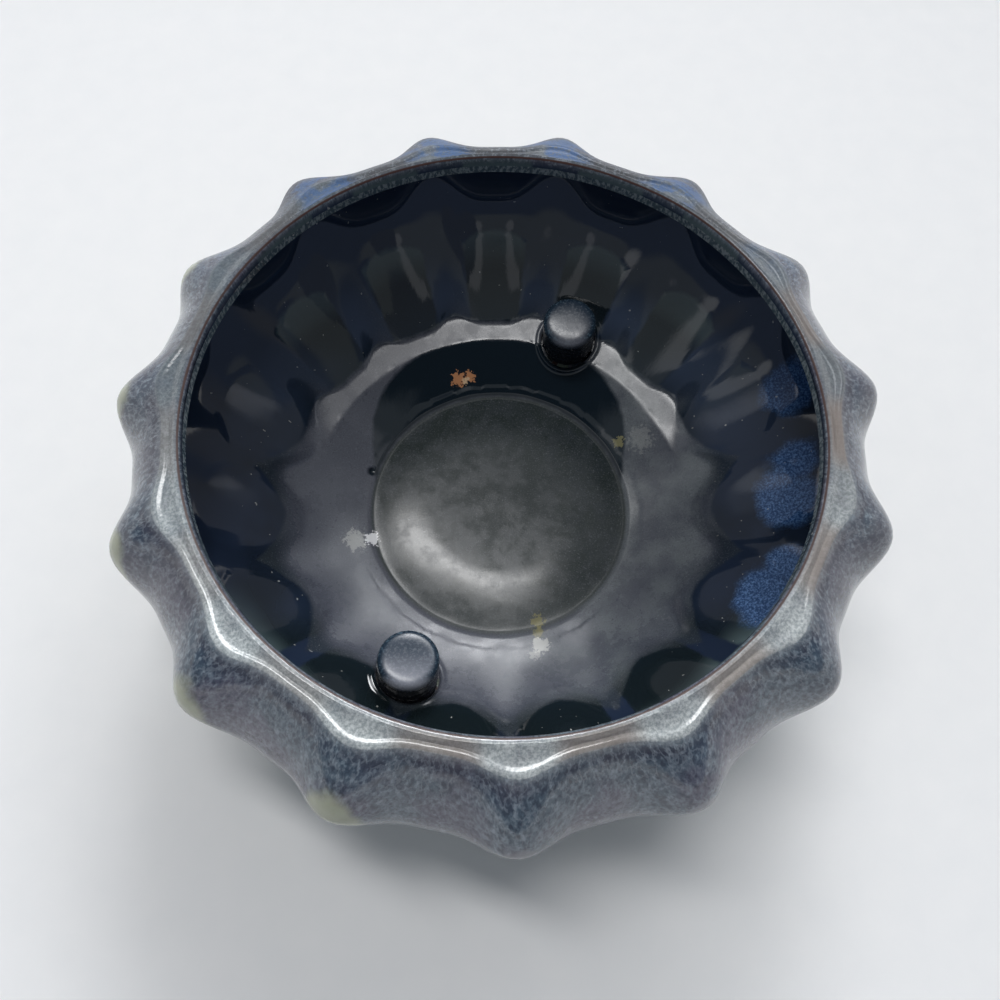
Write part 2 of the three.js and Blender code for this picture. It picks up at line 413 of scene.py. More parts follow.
def join_up(mesh, points):
    """Vertices and edges along a line of points."""
    corners = [mesh.verts.new(point) for point in points]
    for a, b in zip(corners, corners[1:]):
        mesh.edges.new((a, b))
    return corners


def turn_round(mesh, steps):
    """Spins a line of points a full turn round the Z axis and closes the seam and the poles."""
    bmesh.ops.spin(
        mesh,
        geom=mesh.verts[:] + mesh.edges[:],
        cent=(0, 0, 0),
        axis=(0, 0, 1),
        angle=math.tau,
        steps=steps,
        use_merge=True,
    )
    bmesh.ops.remove_doubles(mesh, verts=mesh.verts[:], dist=1e-6)
    bmesh.ops.recalc_face_normals(mesh, faces=mesh.faces[:])


def shaped_bowl():
    """The ribbed bowl as one closed skin, with the zones and the run of the glaze on it."""
    mesh = bmesh.new()
    ring_layer = mesh.verts.layers.int.new("ring")
    zone_layers = {name: mesh.verts.layers.float.new(name) for name in ZONES}
    flow_layer = mesh.verts.layers.float_vector.new("flow")
    columns = []
    for step in range(STEPS_PER_RIB):
        share = rib_share(RIB_START + math.tau * step / COLUMNS)
        column = []
        run = 0.0
        last = at(0, RECESS_HEIGHT)
        for name, points in bowl_section(share):
            for i, here in enumerate(points):
                run += (here - last).length
                last = here
                values = zone_values(name, share, here, (i + 1) / len(points))
                column.append((here, values, run))
        columns.append(column)
    first = columns[0]
    start = Vector((math.cos(RIB_START), math.sin(RIB_START), 0))
    line = join_up(mesh, [start * here.x + Vector((0, 0, here.y)) for here, _, _ in first])
    for ring, vertex in enumerate(line):
        vertex[ring_layer] = ring
    turn_round(mesh, COLUMNS)
    for vertex in mesh.verts:
        angle = math.atan2(vertex.co.y, vertex.co.x)
        step = round((angle - RIB_START) / math.tau * COLUMNS) % STEPS_PER_RIB
        here, values, run = columns[step][vertex[ring_layer]]
        lift = floor_lift(here, values["rib"], angle) * values["inside"]
        turned = Vector((math.cos(angle), math.sin(angle), 0))
        vertex.co = turned * here.x + Vector((0, 0, here.y + lift))
        vertex[flow_layer] = turned * RIM_RADIUS + Vector((0, 0, run * FLOW_STRETCH))
        values.update(film_values(here.x, values["rib"], angle))
        for name, value in values.items():
            vertex[zone_layers[name]] = value
    return mesh


# Each drain hole is a shallow round well in the floor with a hole through a boss under it.
# Both stand square to an axis that leans towards the middle, and a roll of glaze rings the well.
PLUG_RADIUS_OUT = 0.0916
PLUG_ANGLES = {"front": math.radians(245), "rear": math.radians(68)}
PLUG_LEAN = math.radians(11)
SEAT_DEPTH = 0.0008
SEAT_THICKNESS = 0.007
BOSS_WALL = 0.005
HEAD_RADIUS = 0.0125
HEAD_HEIGHT = 0.0248
STEM_RADIUS = 0.007
STEM_FLANGE = 0.0016
STEM_FLANGE_HEIGHT = 0.0026
SEAL_WALL = 0.0022
SEAL_FLANGE = 0.002
SEAL_THICKNESS = 0.0018
SEAL_TAIL = 0.001
HEAD_CLEARANCE = 0.0008
TOUCH_GAP = 0.0003
SEAL_RADIUS = STEM_RADIUS + TOUCH_GAP + SEAL_WALL
HOLE_RADIUS = SEAL_RADIUS + TOUCH_GAP
WELL_RADIUS = HEAD_RADIUS + HEAD_CLEARANCE
BOSS_RADIUS = WELL_RADIUS + BOSS_WALL
BOSS_FADE = 0.002
ROLL_HEIGHT = 0.0007
ROLL_PLACE = 0.0015
ROLL_SIZE = 0.0011
MOUTH_ROUND = 0.0008
HOLE_ROUND = 0.0007
HOLE_ROUND_MIDDLE = 0.0002
BARE_BELOW = -0.0004
ROUND_SIDES = 128
DRAIN_REACH = 0.03
WELL_LOW_EDGE = PLUG_RADIUS_OUT - WELL_RADIUS * math.cos(PLUG_LEAN)
SEAT_HEIGHT = floor_at(WELL_LOW_EDGE) + WELL_RADIUS * math.sin(PLUG_LEAN) - SEAT_DEPTH


# The bowl's mesh is made finer here, as (on the inside, from, to, cuts)
FINER_RINGS = (
    (True, WELL_RADIUS - 0.002, WELL_RADIUS + 0.006, 3),
    (False, BOSS_RADIUS - 0.0015, BOSS_RADIUS + 0.003, 2),
)


def drain_place(angle):
    """Turns a point made on the Z axis, with the seat at zero, to its drain hole."""
    return (
        Matrix.Rotation(angle, 4, "Z")
        @ Matrix.Translation((PLUG_RADIUS_OUT, 0, SEAT_HEIGHT))
        @ Matrix.Rotation(-PLUG_LEAN, 4, "Y")
    )


def shape_round_drains(mesh):
    """Raises the roll of glaze round each well and lets down the boss under it."""
    inside_layer = mesh.verts.layers.float["inside"]
    for angle in PLUG_ANGLES.values():
        place = drain_place(angle)
        back = place.inverted()

        def local(vertex):
            return back @ vertex.co

        def near(vertex, low, high, side):
            spot = local(vertex)
            across = math.hypot(spot.x, spot.y)
            right_side = (vertex[inside_layer] > 0.5) == side
            return right_side and low < across < high and abs(spot.z) < DRAIN_REACH

        for side, low, high, cuts in FINER_RINGS:
            edges = [
                edge for edge in mesh.edges
                if all(near(vertex, low, high, side) for vertex in edge.verts)
            ]
            bmesh.ops.subdivide_edges(mesh, edges=edges, cuts=cuts, use_grid_fill=True)
        for vertex in mesh.verts:
            spot = local(vertex)
            across = math.hypot(spot.x, spot.y)
            if across > BOSS_RADIUS + BOSS_FADE or abs(spot.z) > DRAIN_REACH:
                continue
            if vertex[inside_layer] > 0.5:
                spot.z += ROLL_HEIGHT * hump(across - WELL_RADIUS - ROLL_PLACE, ROLL_SIZE)
                inward = max(0.0, MOUTH_ROUND - max(0.0, across - WELL_RADIUS))
                spot.z -= MOUTH_ROUND - math.sqrt(MOUTH_ROUND ** 2 - inward ** 2)
            elif spot.z > -SEAT_THICKNESS:
                fade = 1 - climb_share(across, BOSS_RADIUS, BOSS_RADIUS + BOSS_FADE)
                spot.z = between(spot.z, -SEAT_THICKNESS, fade)
            vertex.co = place @ spot


# Slight unevenness left by the mould and the thickness of the glaze
UNEVEN_SCALE = 26.0
UNEVEN_OUTSIDE = 0.0005
UNEVEN_INSIDE = 0.0004
EVEN_SHARE = 0.8
LUMP_SHARE = 0.5


def make_uneven(mesh):
    """Draws the surface in, more at some places than at others. The foot stays true."""
    inside_layer = mesh.verts.layers.float["inside"]
    for vertex in mesh.verts:
        across = math.hypot(vertex.co.x, vertex.co.y)
        if vertex.co.z < FOOT_HEIGHT * 2 and across < FOOT_RADIUS * 1.1:
            continue
        depth = between(UNEVEN_OUTSIDE, UNEVEN_INSIDE, vertex[inside_layer])
        lump = noise.noise(vertex.co * UNEVEN_SCALE)
        flat = Vector((vertex.co.x, vertex.co.y, 0))
        vertex.co -= flat.normalized() * depth * (EVEN_SHARE + LUMP_SHARE * lump)


def to_object(mesh, name):
    data = bpy.data.meshes.new(name)
    mesh.to_mesh(data)
    mesh.free()
    made = bpy.data.objects.new(name, data)
    bpy.context.scene.collection.objects.link(made)
    return made


def drain_cutter(angle):
    """What the well and its hole take out of the bowl."""
    mesh = bmesh.new()
    layers = {name: mesh.verts.layers.float.new(name) for name in ("inside", "bare")}
    join_up(mesh, [
        Vector((0, 0, -SEAT_THICKNESS * 3)),
        Vector((HOLE_RADIUS, 0, -SEAT_THICKNESS * 3)),
        Vector((HOLE_RADIUS, 0, -HOLE_ROUND)),
        Vector((HOLE_RADIUS + HOLE_ROUND_MIDDLE, 0, -HOLE_ROUND_MIDDLE)),
        Vector((HOLE_RADIUS + HOLE_ROUND, 0, 0)),
        Vector((WELL_RADIUS, 0, 0)),
        Vector((WELL_RADIUS, 0, HEAD_HEIGHT * 2)),
        Vector((0, 0, HEAD_HEIGHT * 2)),
    ])
    turn_round(mesh, ROUND_SIDES)
    for vertex in mesh.verts:
        vertex[layers["inside"]] = 1.0
        vertex[layers["bare"]] = 1.0 if vertex.co.z < BARE_BELOW else 0.0
    mesh.transform(drain_place(angle))
    return to_object(mesh, "drain_cutter")


def cut_out(piece, cutter):
    """Takes the cutter's shape out of the piece, and the cutter out of the scene."""
    modifier = piece.modifiers.new("cut", "BOOLEAN")
    modifier.operation = "DIFFERENCE"
    modifier.solver = "EXACT"
    modifier.object = cutter
    shown = piece.evaluated_get(bpy.context.evaluated_depsgraph_get())
    data = bpy.data.meshes.new_from_object(shown)
    piece.modifiers.clear()
    piece.data = data
    bpy.data.objects.remove(cutter)


SHARP_ANGLE = math.radians(38)


def smooth(piece):
    piece.data.polygons.foreach_set("use_smooth", [True] * len(piece.data.polygons))
    piece.data.set_sharp_from_angle(angle=SHARP_ANGLE)


mesh = shaped_bowl()
shape_round_drains(mesh)
make_uneven(mesh)
bowl = to_object(mesh, "glazed_bowl")
for angle in PLUG_ANGLES.values():
    cut_out(bowl, drain_cutter(angle))
smooth(bowl)


def colour(red, green, blue):
    """A colour given as 0 to 255 for the screen, as the shader takes it."""
    return (*[linear(value / 255) for value in (red, green, blue)], 1)


def linear(value):
    return value / 12.92 if value <= 0.04045 else ((value + 0.055) / 1.055) ** 2.4


# Colours of the glaze, as they are seen in plain light
VIOLET_SLATE = colour(94, 92, 106)
BLUE_SLATE = colour(88, 100, 110)
# Dark cells of the glaze, also used as painted shade on the left and right of the shoulder
DARK_CELL_AND_SIDE_SHADE = colour(58, 60, 72)
FAR_PAINTED_SHADE = colour(46, 50, 58)
# Painted shade for the far side of the shoulder
CREST_SHADE_VIOLET = colour(48, 47, 62)
FLECK = colour(146, 154, 162)
POOL_DEEP = colour(56, 76, 94)
POOL_LIGHT = colour(108, 136, 152)
POOL_FAR = colour(54, 88, 134)
LEDGE_SAGE = colour(84, 94, 100)
LEDGE_SAGE_PAINTED_LIGHT = colour(158, 168, 170)
LEDGE_PALE_PAINTED_LIGHT = colour(222, 228, 228)
LEDGE_DULL = colour(114, 124, 130)
VALLEY_BROWN = colour(134, 122, 114)
TIP_OLIVE = colour(164, 167, 142)
TIP_GREY = colour(124, 122, 128)
CLAY = colour(68, 49, 46)
NAVY = colour(34, 44, 62)
NAVY_PAINTED_LIGHT_BACK = colour(62, 76, 98)
INK = colour(25, 33, 44)
LOBE_REFLECTION_LOW = colour(20, 28, 30)
LOBE_REFLECTION_HIGH = colour(92, 108, 110)
COBALT = colour(30, 60, 102)
COBALT_FLECK = colour(100, 136, 184)
CHARCOAL = colour(22, 33, 42)
FILM = colour(80, 83, 93)
FILM_GREEN = colour(96, 102, 106)
FILM_HIGH = colour(44, 51, 53)
DISC_GREY = colour(57, 63, 66)
DISC_GREEN = colour(50, 57, 56)
DISC_PAINTED_LIGHT = colour(84, 88, 88)
FLOOR_SPECK = colour(138, 142, 150)
BAND_TEAL = colour(74, 88, 96)
BAND_PALE = colour(132, 142, 146)
CELADON = colour(134, 142, 122)
CELADON_DARK = colour(102, 114, 106)
RUST = colour(196, 138, 98)
RUST_PALE = colour(226, 196, 160)
OCHRE = colour(140, 134, 92)
CHALK = colour(206, 206, 200)
PAINTED_GLINT = colour(236, 236, 238)

# Marks on the floor: rust, ochre and chalky crusts, and a white painted glint at the left edge
# of the disc, as (place, size, colour, strength)
MARKS = (
    ((-0.0205, 0.0670, 0.0141), 0.0062, RUST, 0.95),
    ((-0.0150, 0.0682, 0.0141), 0.0052, RUST, 0.95),
    ((-0.0165, 0.0664, 0.0141), 0.0034, RUST_PALE, 0.8),
    ((0.0583, 0.0341, 0.0127), 0.0052, OCHRE, 0.7),
    ((0.0176, -0.0547, 0.0092), 0.0062, OCHRE, 0.75),
    ((0.0178, -0.0590, 0.0098), 0.0055, OCHRE, 0.7),
    ((0.0184, -0.0659, 0.0113), 0.0068, CHALK, 0.6),
    ((0.0160, -0.0700, 0.0123), 0.0050, CHALK, 0.4),
    ((-0.0660, -0.0175, 0.0115), 0.0095, CHALK, 0.45),
    # a white painted glint
    ((-0.0590, -0.0160, 0.0095), 0.0060, PAINTED_GLINT, 0.9),
    ((0.0683, 0.0337, 0.0170), 0.0110, CHALK, 0.16),
)

# Where cobalt shows through the wall, as (place, size)
COBALT_PLACES = (
    ((0.122, -0.010, 0.050), 0.026),
    ((0.124, 0.004, 0.056), 0.018),
    ((0.108, -0.054, 0.049), 0.024),
    ((0.117, -0.040, 0.052), 0.016),
    ((0.127, 0.038, 0.060), 0.022),
    ((0.031, 0.075, 0.018), 0.010),
)
RAGGED_LOW = 0.88
RAGGED_HIGH = 0.96
PIT_PLACE = (-0.0608, 0.0180, 0.0096)
PIT_SIZE = 0.0030
PIT_DEPTH = 0.0012

# Fineness of the glaze's patterns: a higher number is a finer pattern
GRAIN_SCALE = 780
VEIN_SCALE = 270
VEIN_WIDTH = 0.06
DRIFT_SCALE = 38
POOL_SCALE = 75
CREST_SHADE_SCALE = 120
LEDGE_SCALE = 110
LEDGE_GRAIN_SCALE = 900
FAR_GRAIN_SCALE = 620
TIP_SCALE = 75
DRIP_SCALE = 110
CELADON_SCALE = 160
INK_SCALE = 20
FRAY_SCALE = 110
COBALT_SCALE = 70
COBALT_GRAIN_SCALE = 1100
BAND_SCALE = 260
PINHOLE_SCALE = 640
WOBBLE_SCALE = 130
SPECK_SCALE = 1500
WORN_SCALE = 90
SOFT_WORN_SCALE = 55
CRUMB_SCALE = 520
BARE_SCALE = 300
SWELL_SCALE = 70

# Where a change of colour starts and ends, across the bowl, from front to back, or upwards
SIDE_SHADE_ACROSS = (0.08, 0.14)
NEAR_SIDE = (-0.09, 0.02)
NEAR_RIGHT = (0.0, 0.12)
FAR_SIDE = (0.05, 0.11)
FAR_SHADE_SIDE = (0.04, 0.12)
LEFT_SIDE = (-0.10, -0.055)
LEFT_TURN = 0.35
NAVY_LIGHT_BACK = (-0.02, 0.08)
LOBE_REFLECTION_SIDE = (0.045, 0.075)
RIGHT_SIDE = (-0.03, 0.06)
DISC_LIGHT_FRONT = (-0.054, -0.034)
LOBE_REFLECTION_CLIMB = (0.041, 0.053)
LOBE_EDGE_CLIMB = (0.030, 0.040)
CHARCOAL_CLIMB = (0.022, 0.036)
FILM_THINS = (0.023, 0.034)
FILM_CLIMB = (0.027, 0.035)

# How strongly a colour shows, from 0 to 1
CELL_STRENGTH = 0.72
SIDE_SHADE_STRENGTH = 0.6
POOL_STRENGTH = 0.7
VEIN_STRENGTH = 0.36
FLECK_STRENGTH = 0.40
FAR_SHADE_STRENGTH = 0.6
SPECK_STRENGTH = 0.45

# How far the edges of the lobes and of the film stray, in millimetres
FRAY = 3.0
WOBBLE = 2.4

# Roughness, as (lowest, highest) where it varies, and depth of the fine relief
GLAZE_IOR = 1.58
OUTSIDE_ROUGH = (0.10, 0.18)
FAR_ROUGH = 0.36
SLOPE_ROUGH = (0.26, 0.34)
DISC_ROUGH = (0.20, 0.28)
INSIDE_ROUGH = 0.045
CREASE_ROUGH = 0.8
CLAY_ROUGH = 0.42
SWELL_DEPTH = 0.0003
LOBE_EDGE_DEPTH = 0.00022
GRAIN_DEPTH = 0.00006


class Glaze:
    """A node tree, with one short call for each kind of node."""

    def __init__(self, name):
        self.material = bpy.data.materials.new(name)
        self.material.use_nodes = True
        self.tree = self.material.node_tree
        self.shader = self.tree.nodes["Principled BSDF"]

    def feed(self, socket, value):
        if isinstance(value, bpy.types.NodeSocket):
            self.tree.links.new(value, socket)
        else:
            socket.default_value = value

    def coat(self, name, value):
        """Sets one of the shader's own sockets, or links it."""
        self.feed(self.shader.inputs[name], value)

    def node(self, kind, inputs=(), **settings):
        """A new node with its settings made, and its inputs fed from (socket, value) pairs."""
        made = self.tree.nodes.new(f"ShaderNode{kind}")
        for name, setting in settings.items():
            setattr(made, name, setting)
        for socket, value in inputs:
            self.feed(made.inputs[socket], value)
        return made

    def held(self, name):
        """A value that the mesh holds."""
        outputs = self.node("Attribute", attribute_name=name).outputs
        return outputs["Vector" if name == "flow" else "Fac"]

    def place(self):
        return self.node("TexCoord").outputs["Object"]

    def cloud(self, vector, scale, detail=3.0, roughness=0.5):
        node = self.node("TexNoise", (("Vector", vector), ("Scale", scale)))
        node.inputs["Detail"].default_value = detail
        node.inputs["Roughness"].default_value = roughness
        return node.outputs["Fac"]

    def rise(self, value, low, high, bottom=0.0, top=1.0):
        """A smooth climb from bottom to top as the value goes from low to high."""
        inputs = enumerate((value, low, high, bottom, top))
        node = self.node("MapRange", inputs, interpolation_type="SMOOTHSTEP")
        return node.outputs["Result"]

    def reckon(self, kind, *values):
        return self.node("Math", enumerate(values), operation=kind).outputs[0]

    def times(self, first, second):
        return self.reckon("MULTIPLY", first, second)

    def plus(self, first, second):
        return self.reckon("ADD", first, second)

    def minus(self, first, second):
        return self.reckon("SUBTRACT", first, second)

    def larger(self, first, second):
        return self.reckon("MAXIMUM", first, second)

    def unsigned(self, value):
        return self.reckon("ABSOLUTE", value)

    def veins(self, vector, scale, width):
        """Thin lines where a cloud crosses its middle, as on a crawled glaze."""
        middle = self.minus(self.cloud(vector, scale, 3.0, 0.6), 0.5)
        return self.rise(self.unsigned(middle), 0.0, width, 1.0, 0.0)

    def mix(self, share, first, second):
        """A number between two others."""
        return self.node("Mix", ((0, share), (2, first), (3, second))).outputs[0]

    def blend(self, share, first, second):
        """A colour between two others."""
        inputs = ((0, share), (6, first), (7, second))
        return self.node("Mix", inputs, data_type="RGBA").outputs[2]

    def measure(self, kind, first, second):
        """How far two places are apart, or how far one lies along the other."""
        inputs = ((0, first), (1, second))
        return self.node("VectorMath", inputs, operation=kind).outputs["Value"]

    def near(self, spot, size):
        """1 at a spot on the piece, and 0 from that size out."""
        return self.rise(self.measure("DISTANCE", self.place(), spot), 0.0, size, 1.0, 0.0)

    def split(self, vector):
        return self.node("SeparateXYZ", ((0, vector),)).outputs

    def bump(self, height, distance, under=None):
        node = self.node("Bump", (("Height", height), ("Distance", distance)))
        if under is not None:
            self.feed(node.inputs["Normal"], under)
        return node.outputs["Normal"]


def bowl_glaze():
    glaze = Glaze("reactive_glaze")
    flow = glaze.held("flow")
    place = glaze.place()
    across, back, up = glaze.split(place)
    inside = glaze.held("inside")
    ledge_zone = glaze.held("ledge")
    pool_zone = glaze.held("pool")
    tip_zone = glaze.held("tip")
    near_side = glaze.rise(back, *NEAR_SIDE, 1.0, 0.0)
    far_side = glaze.rise(back, *FAR_SIDE)

    # The shoulder is slate with dark cells, pools under the ledge, and pale veins and flecks.
    # Its left and right are darkened with painted shade.
    grain = glaze.cloud(flow, GRAIN_SCALE, 2.5, 0.6)
    light_grain = glaze.rise(grain, 0.5, 0.68)
    dark_grain = glaze.rise(grain, 0.36, 0.5, 1.0, 0.0)
    veins = glaze.veins(flow, VEIN_SCALE, VEIN_WIDTH)
    drift = glaze.rise(glaze.cloud(place, DRIFT_SCALE), 0.4, 0.6)
    outside = glaze.blend(drift, VIOLET_SLATE, BLUE_SLATE)
    outside = glaze.blend(glaze.times(dark_grain, CELL_STRENGTH), outside, DARK_CELL_AND_SIDE_SHADE)
    # Painted shade darkens the left and right of the shoulder
    side_shade = glaze.rise(glaze.unsigned(across), *SIDE_SHADE_ACROSS, 0.0, SIDE_SHADE_STRENGTH)
    outside = glaze.blend(side_shade, outside, DARK_CELL_AND_SIDE_SHADE)
    pool = glaze.times(pool_zone, glaze.rise(glaze.cloud(place, POOL_SCALE), 0.32, 0.58))
    pool_colour = glaze.blend(light_grain, POOL_DEEP, POOL_LIGHT)
    outside = glaze.blend(glaze.times(pool, POOL_STRENGTH), outside, pool_colour)
    # A darker violet band just under the crest is painted shade
    crest_shade = glaze.rise(glaze.cloud(place, CREST_SHADE_SCALE), 0.35, 0.6, 0.25, 0.85)
    outside = glaze.blend(glaze.times(glaze.held("crest_shade"), crest_shade), outside, CREST_SHADE_VIOLET)
    lit = glaze.times(veins, VEIN_STRENGTH)
    lit = glaze.plus(lit, glaze.times(light_grain, FLECK_STRENGTH))
    lit = glaze.times(lit, glaze.rise(drift, 0.0, 1.0, 0.75, 1.0))
    outside = glaze.blend(lit, outside, FLECK)

    # The ledge is paler, with painted light making it palest at the front, and brown where it is
    # thin in a valley
    ledge = glaze.rise(glaze.cloud(place, LEDGE_SCALE), 0.3, 0.6, 0.6, 0.95)
    ledge = glaze.times(ledge_zone, ledge)
    ledge_grain = glaze.rise(glaze.cloud(place, LEDGE_GRAIN_SCALE, 4.0, 0.7), 0.36, 0.66)
    # The front copies of the ledge colours carry painted light
    pale_with_front_light = glaze.blend(near_side, LEDGE_DULL, LEDGE_PALE_PAINTED_LIGHT)
    sage_with_front_light = glaze.blend(near_side, LEDGE_SAGE, LEDGE_SAGE_PAINTED_LIGHT)
    outside = glaze.blend(ledge, outside, glaze.blend(ledge_grain, sage_with_front_light, pale_with_front_light))
    near_right = glaze.rise(glaze.minus(across, back), *NEAR_RIGHT, 0.35, 0.8)
    valley = glaze.times(glaze.rise(glaze.held("rib"), 0.0, 0.6, 1.0, 0.25), ledge_zone)
    outside = glaze.blend(glaze.times(valley, near_right), outside, VALLEY_BROWN)

    # The far side is darkened with painted shade, and has pale flecks and blue pools
    far_shade = glaze.rise(back, *FAR_SHADE_SIDE, 0.0, FAR_SHADE_STRENGTH)
    far_shade = glaze.times(far_shade, glaze.rise(pool_zone, 0.3, 0.9, 1.0, 0.3))
    outside = glaze.blend(far_shade, outside, FAR_PAINTED_SHADE)
    far_grain = glaze.cloud(place, FAR_GRAIN_SCALE, 4.0, 0.7)
    far_fleck = glaze.times(glaze.rise(far_grain, 0.5, 0.66, 0.0, 0.5), far_side)
    outside = glaze.blend(far_fleck, outside, FLECK)
    far_pool = glaze.times(glaze.rise(far_grain, 0.36, 0.5), far_side)
    far_pool = glaze.times(far_pool, glaze.rise(pool, 0.1, 0.6, 0.0, 0.8))
    outside = glaze.blend(far_pool, outside, POOL_FAR)

    # The glaze breaks olive on the rib tips at the left, and grey on the others
    left = glaze.plus(across, glaze.times(back, LEFT_TURN))
    left = glaze.rise(left, *LEFT_SIDE, 1.0, 0.0)
    wavy = glaze.times(glaze.cloud(place, TIP_SCALE), 0.5)
    olive_tip = glaze.plus(glaze.times(tip_zone, left), wavy)
    outside = glaze.blend(glaze.rise(olive_tip, 0.52, 0.84, 0.0, 0.9), outside, TIP_OLIVE)
    grey_tip = glaze.rise(glaze.plus(tip_zone, wavy), 0.98, 1.12)
    grey_tip = glaze.times(grey_tip, glaze.rise(left, 0.0, 0.5, 0.7, 0.0))
    outside = glaze.blend(grey_tip, outside, TIP_GREY)

    # Below the widest line it ends in drips over a celadon coat
    drips = glaze.minus(glaze.cloud(flow, DRIP_SCALE, 3.0, 0.6), 0.5)
    under = glaze.rise(glaze.plus(glaze.held("under"), drips), 0.25, 0.85, 0.0, 0.85)
    celadon = glaze.rise(glaze.cloud(flow, CELADON_SCALE, 5.0, 0.7), 0.4, 0.62)
    outside = glaze.blend(under, outside, glaze.blend(celadon, CELADON, CELADON_DARK))

    # Inside it is ink and navy, made paler at the back with painted light, and each lobe face of
    # the wall carries a painted reflection
    inner = glaze.blend(glaze.rise(glaze.cloud(place, INK_SCALE), 0.4, 0.6), INK, NAVY)
    # Painted light makes the navy paler at the back
    inner = glaze.blend(glaze.rise(back, *NAVY_LIGHT_BACK, 0.0, 0.5), inner, NAVY_PAINTED_LIGHT_BACK)
    frayed = glaze.times(glaze.cloud(place, FRAY_SCALE, 4.0, 0.6), FRAY)
    # Each lobe face of the wall, at the front and back, carries a painted reflection that is
    # dark low down and paler higher up
    lobe = glaze.rise(glaze.plus(glaze.held("lobe"), frayed), 0.6, 2.6)
    facing = glaze.rise(glaze.unsigned(back), *LOBE_REFLECTION_SIDE, 0.0, 0.9)
    lobe_reflection = glaze.blend(glaze.rise(up, *LOBE_REFLECTION_CLIMB), LOBE_REFLECTION_LOW, LOBE_REFLECTION_HIGH)
    inner = glaze.blend(glaze.times(lobe, facing), inner, lobe_reflection)
    blue = 0.0
    for spot, size in COBALT_PLACES:
        blue = glaze.larger(blue, glaze.near(spot, size))
    blue = glaze.plus(blue, glaze.cloud(place, COBALT_SCALE, 4.0, 0.6))
    cobalt_grain = glaze.rise(glaze.cloud(place, COBALT_GRAIN_SCALE, 4.0, 0.7), 0.4, 0.72)
    cobalt = glaze.blend(cobalt_grain, COBALT, COBALT_FLECK)
    inner = glaze.blend(glaze.rise(blue, 0.75, 1.15), inner, cobalt)

    # A teal band runs under the lip, and the glaze has a few pinholes
    band = glaze.times(glaze.cloud(flow, BAND_SCALE), 0.5)
    band = glaze.rise(glaze.plus(glaze.held("band"), band), 0.62, 0.95)
    band_colour = glaze.blend(glaze.rise(grain, 0.42, 0.62), BAND_TEAL, BAND_PALE)
    inner = glaze.blend(band, inner, band_colour)
    pinhole = glaze.rise(glaze.cloud(place, PINHOLE_SCALE, 0.0), 0.845, 0.865)
    inner = glaze.blend(glaze.times(pinhole, 0.5), inner, CHALK)

    # The film thins out up the slope and, at the right, in worn patches
    disc = glaze.held("disc")
    wobble = glaze.minus(glaze.cloud(place, WOBBLE_SCALE, 4.0, 0.6), 0.5)
    film = glaze.rise(glaze.plus(glaze.held("film"), glaze.times(wobble, WOBBLE)), -1.0, 1.3)
    film = glaze.larger(film, glaze.times(glaze.held("streak"), 0.5))
    worn = glaze.rise(glaze.cloud(place, WORN_SCALE, 6.0, 0.7), 0.36, 0.64)
    soft_worn = glaze.rise(glaze.cloud(place, SOFT_WORN_SCALE, 4.0, 0.6), 0.3, 0.7)
    right = glaze.rise(across, *RIGHT_SIDE)
    film = glaze.times(film, glaze.mix(right, 1.0, glaze.rise(soft_worn, 0.0, 1.0, 0.8, 1.0)))
    film = glaze.times(film, glaze.rise(up, *FILM_THINS, 1.0, 0.62))
    slope_film = glaze.blend(glaze.times(right, soft_worn), FILM, FILM_GREEN)
    slope_film = glaze.blend(glaze.rise(up, *FILM_CLIMB, 0.0, 0.9), slope_film, FILM_HIGH)
    disc_film = glaze.blend(worn, DISC_GREEN, DISC_GREY)
    # The front of the disc is made paler with painted light
    disc_film = glaze.blend(glaze.rise(back, *DISC_LIGHT_FRONT, 0.9, 0.0), disc_film, DISC_PAINTED_LIGHT)
    film_colour = glaze.blend(disc, slope_film, disc_film)
    fine = glaze.cloud(place, SPECK_SCALE, 3.0, 0.7)
    pepper = glaze.rise(fine, 0.30, 0.48, 0.55, 0.0)
    film_colour = glaze.blend(pepper, film_colour, CHARCOAL)
    speck = glaze.times(glaze.rise(fine, 0.54, 0.74), SPECK_STRENGTH)
    film_colour = glaze.blend(speck, film_colour, FLOOR_SPECK)
    inner = glaze.blend(glaze.rise(up, *CHARCOAL_CLIMB, 1.0, 0.0), inner, CHARCOAL)
    inner = glaze.blend(film, inner, film_colour)
    crumbs = glaze.rise(glaze.cloud(place, CRUMB_SCALE, 4.0, 0.7), 0.3, 0.7, 0.0, 0.85)
    for spot, size, tint, share in MARKS:
        ragged = glaze.plus(glaze.near(spot, size), crumbs)
        mark = glaze.times(glaze.rise(ragged, RAGGED_LOW, RAGGED_HIGH), share)
        inner = glaze.blend(mark, inner, tint)
    # The pit is painted dark as shade in it, and its dent comes from a bump
    pit = glaze.near(PIT_PLACE, PIT_SIZE)
    inner = glaze.blend(glaze.rise(pit, 0.1, 0.5), inner, CHARCOAL)

    # Bare clay shows on the foot and as a thin line along the crest of the lip
    bare = glaze.times(glaze.cloud(place, BARE_SCALE), 0.3)
    bare = glaze.rise(glaze.plus(glaze.held("bare"), bare), 0.72, 0.98)
    surface = glaze.blend(inside, outside, inner)
    glaze.coat("Base Color", glaze.blend(bare, surface, CLAY))

